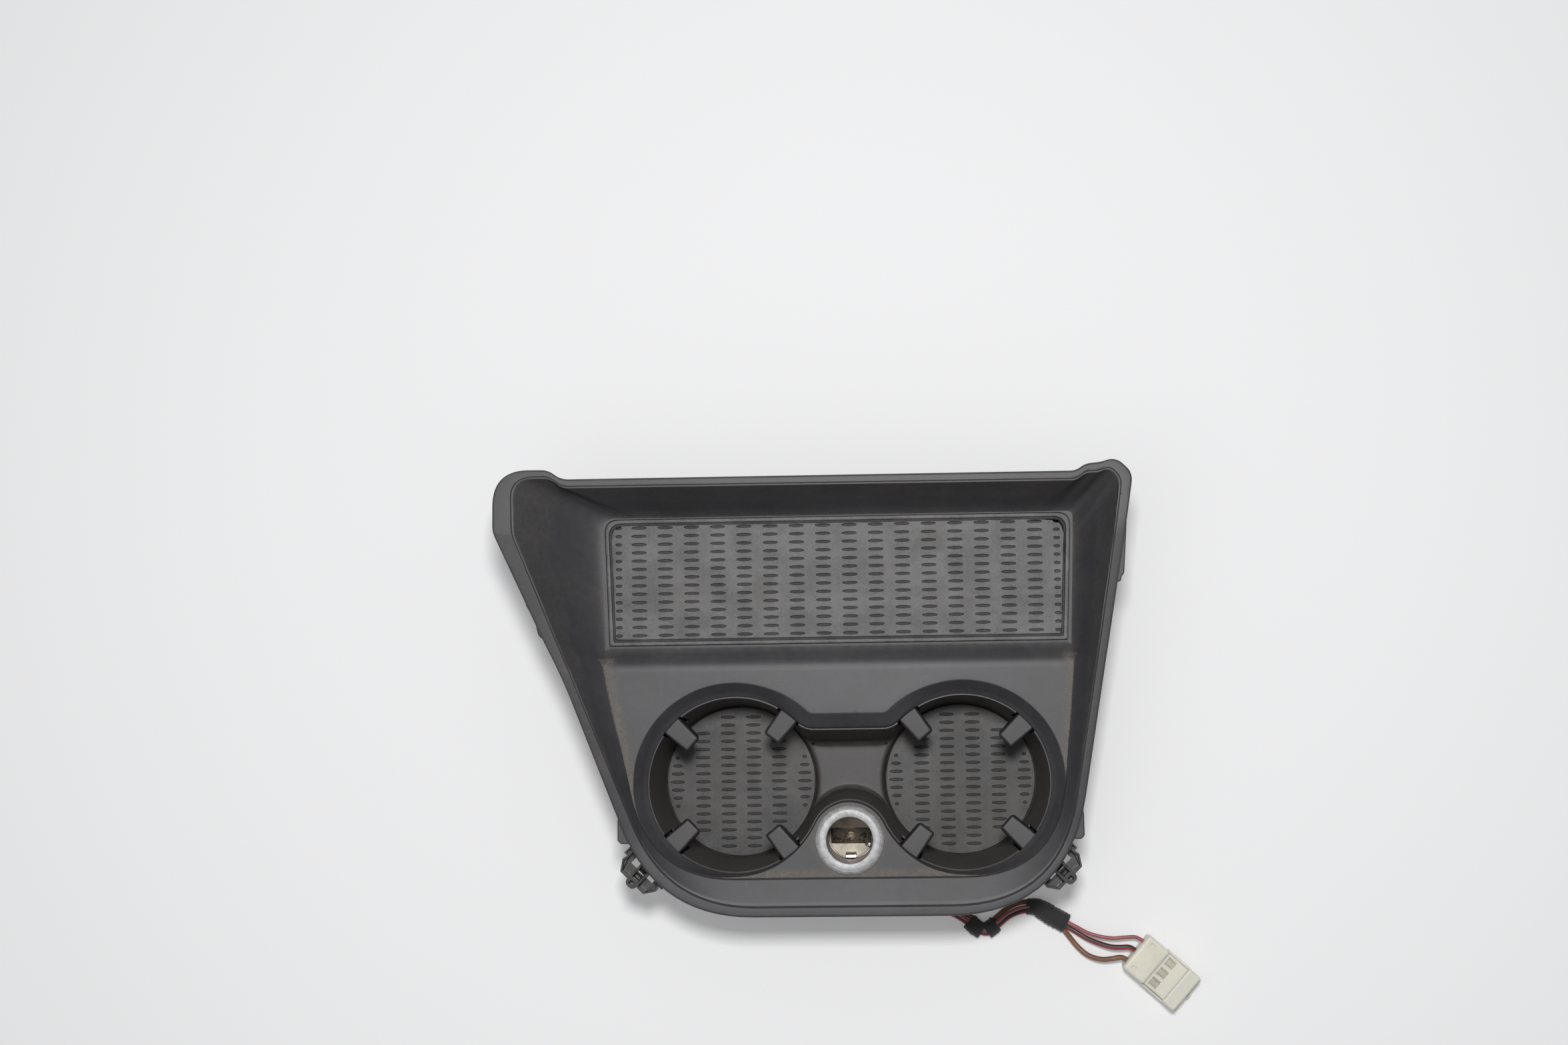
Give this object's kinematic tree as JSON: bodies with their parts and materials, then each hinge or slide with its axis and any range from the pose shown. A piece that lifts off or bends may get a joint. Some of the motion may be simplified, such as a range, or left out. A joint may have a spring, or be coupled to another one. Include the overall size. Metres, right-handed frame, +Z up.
{
  "type": "car cup holder",
  "caption": "Centre console insert with a ribbed storage tray, twin cup wells with sprung gripping fingers, and a power outlet on a short wired connector.",
  "frame": {"origin": "underside of the rest pad, midway between the two cup wells", "axes": "+X across the car through both wells, +Y towards the storage tray, +Z up out of the wells"},
  "size_m": [0.3324, 0.262, 0.08],
  "materials": {
    "trim": "fine grained, dusty",
    "insert": "satin, dusty",
    "mat": "ribbed, dusty",
    "finger": "satin, scuffed",
    "steel": "plain",
    "outlet_ring": "fluted edge, pitted",
    "barrel": "plain",
    "sleeve": "dull plated",
    "insulator": "plain",
    "contact": "oily, tarnished",
    "bracket": "glossy",
    "clip": "dull",
    "thin_wire": "thin stripe along it",
    "red_wire": "thin stripe along it",
    "brown_wire": "plain",
    "tape": "woven, fuzzy edges",
    "connector": "milky",
    "terminals": "dull"
  },
  "bodies": {
    "console": {"tray_shell": "trim", "cup_insert": "insert", "tray_mat": "mat", "left_cup_mat": "mat", "right_cup_mat": "mat", "pin_left_outer_front": "steel", "pin_left_outer_rear": "steel", "pin_left_inner_front": "steel", "pin_left_inner_rear": "steel", "pin_right_outer_front": "steel", "pin_right_outer_rear": "steel", "pin_right_inner_front": "steel", "pin_right_inner_rear": "steel", "spring_left_outer_front": "steel", "spring_left_outer_rear": "steel", "spring_left_inner_front": "steel", "spring_left_inner_rear": "steel", "spring_right_outer_front": "steel", "spring_right_outer_rear": "steel", "spring_right_inner_front": "steel", "spring_right_inner_rear": "steel", "outlet_ring": "outlet_ring", "outlet_barrel": "barrel", "outlet_sleeve": "sleeve", "outlet_insulator": "insulator", "outlet_contact": "contact", "outlet_rivet": "contact", "outlet_claws": "sleeve", "outlet_rear_plug": "barrel", "left_corner_bracket": "bracket", "right_corner_bracket": "bracket", "left_corner_clip": "clip", "right_corner_clip": "clip", "insert_screws": "steel", "thin_wire": "thin_wire", "red_wire": "red_wire", "brown_wire": "brown_wire", "exit_tape": "tape", "middle_tape": "tape", "cloth_tape": "tape", "connector_housing": "connector", "connector_contacts": "terminals"},
    "finger_left_outer_front": {"finger_left_outer_front": "finger"},
    "finger_left_outer_rear": {"finger_left_outer_rear": "finger"},
    "finger_left_inner_front": {"finger_left_inner_front": "finger"},
    "finger_left_inner_rear": {"finger_left_inner_rear": "finger"},
    "finger_right_outer_front": {"finger_right_outer_front": "finger"},
    "finger_right_outer_rear": {"finger_right_outer_rear": "finger"},
    "finger_right_inner_front": {"finger_right_inner_front": "finger"},
    "finger_right_inner_rear": {"finger_right_inner_rear": "finger"}
  },
  "joints": [
    {"name": "hinge_left_outer_front", "type": "hinge", "parent": "console", "child": "finger_left_outer_front", "pos_m": [-0.08829, 0.03226, 0.0437], "axis": [0.682, 0.7314, 0], "range_deg": [0, 65], "stiffness_Nm_per_rad": 0.02, "springref_deg": -17.19},
    {"name": "hinge_left_outer_rear", "type": "hinge", "parent": "console", "child": "finger_left_outer_rear", "pos_m": [-0.08829, -0.03226, 0.0437], "axis": [-0.682, 0.7314, 0], "range_deg": [0, 65], "stiffness_Nm_per_rad": 0.02, "springref_deg": -17.19},
    {"name": "hinge_left_inner_front", "type": "hinge", "parent": "console", "child": "finger_left_inner_front", "pos_m": [-0.02426, 0.03702, 0.0437], "axis": [0.7826, -0.6225, 0], "range_deg": [0, 65], "stiffness_Nm_per_rad": 0.02, "springref_deg": -17.19},
    {"name": "hinge_left_inner_rear", "type": "hinge", "parent": "console", "child": "finger_left_inner_rear", "pos_m": [-0.02426, -0.03702, 0.0437], "axis": [-0.7826, -0.6225, 0], "range_deg": [0, 65], "stiffness_Nm_per_rad": 0.02, "springref_deg": -17.19},
    {"name": "hinge_right_outer_front", "type": "hinge", "parent": "console", "child": "finger_right_outer_front", "pos_m": [0.08829, 0.03226, 0.0437], "axis": [0.682, -0.7314, 0], "range_deg": [0, 65], "stiffness_Nm_per_rad": 0.02, "springref_deg": -17.19},
    {"name": "hinge_right_outer_rear", "type": "hinge", "parent": "console", "child": "finger_right_outer_rear", "pos_m": [0.08829, -0.03226, 0.0437], "axis": [-0.682, -0.7314, 0], "range_deg": [0, 65], "stiffness_Nm_per_rad": 0.02, "springref_deg": -17.19},
    {"name": "hinge_right_inner_front", "type": "hinge", "parent": "console", "child": "finger_right_inner_front", "pos_m": [0.02426, 0.03702, 0.0437], "axis": [0.7826, 0.6225, 0], "range_deg": [0, 65], "stiffness_Nm_per_rad": 0.02, "springref_deg": -17.19},
    {"name": "hinge_right_inner_rear", "type": "hinge", "parent": "console", "child": "finger_right_inner_rear", "pos_m": [0.02426, -0.03702, 0.0437], "axis": [-0.7826, 0.6225, 0], "range_deg": [0, 65], "stiffness_Nm_per_rad": 0.02, "springref_deg": -17.19}
  ]
}
